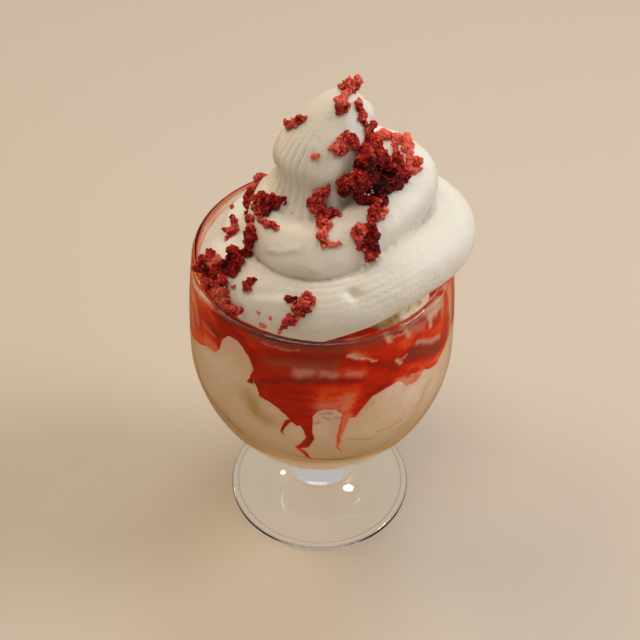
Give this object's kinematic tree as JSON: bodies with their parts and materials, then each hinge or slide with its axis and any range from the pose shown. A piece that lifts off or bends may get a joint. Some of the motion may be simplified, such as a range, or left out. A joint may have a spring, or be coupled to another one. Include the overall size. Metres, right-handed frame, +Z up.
{
  "type": "strawberry ice cream sundae",
  "caption": "Goblet filled with ice cream and strawberry sauce under a tall swirl of whipped cream with cake crumbs",
  "frame": {"origin": "middle of the foot's flat underside, on the axis of the glass", "axes": "+Z up; +X towards the side where the cream hangs over the rim; -Y towards the side the picture shows"},
  "size_m": [0.0885, 0.085, 0.1756],
  "materials": {
    "clear_glass": "clear, polished",
    "melted_ice_cream": "smooth, wet",
    "ice_cream": "soft, slightly wet",
    "strawberry_sauce": "glossy syrup",
    "whipped_cream": "soft, satin",
    "cake_crumb": "porous, matte"
  },
  "bodies": {
    "root": {"glass": "clear_glass", "melted_ice_cream": "melted_ice_cream", "ice_cream": "ice_cream", "strawberry_sauce": "strawberry_sauce", "upper_scoop": "ice_cream", "whipped_cream": "whipped_cream", "crumbs_tip": "cake_crumb", "crumbs_tip_front": "cake_crumb", "crumbs_heap": "cake_crumb", "crumbs_front": "cake_crumb", "crumbs_front_right": "cake_crumb", "crumbs_left": "cake_crumb", "crumbs_rim": "cake_crumb", "crumbs_front_low": "cake_crumb"}
  },
  "joints": []
}
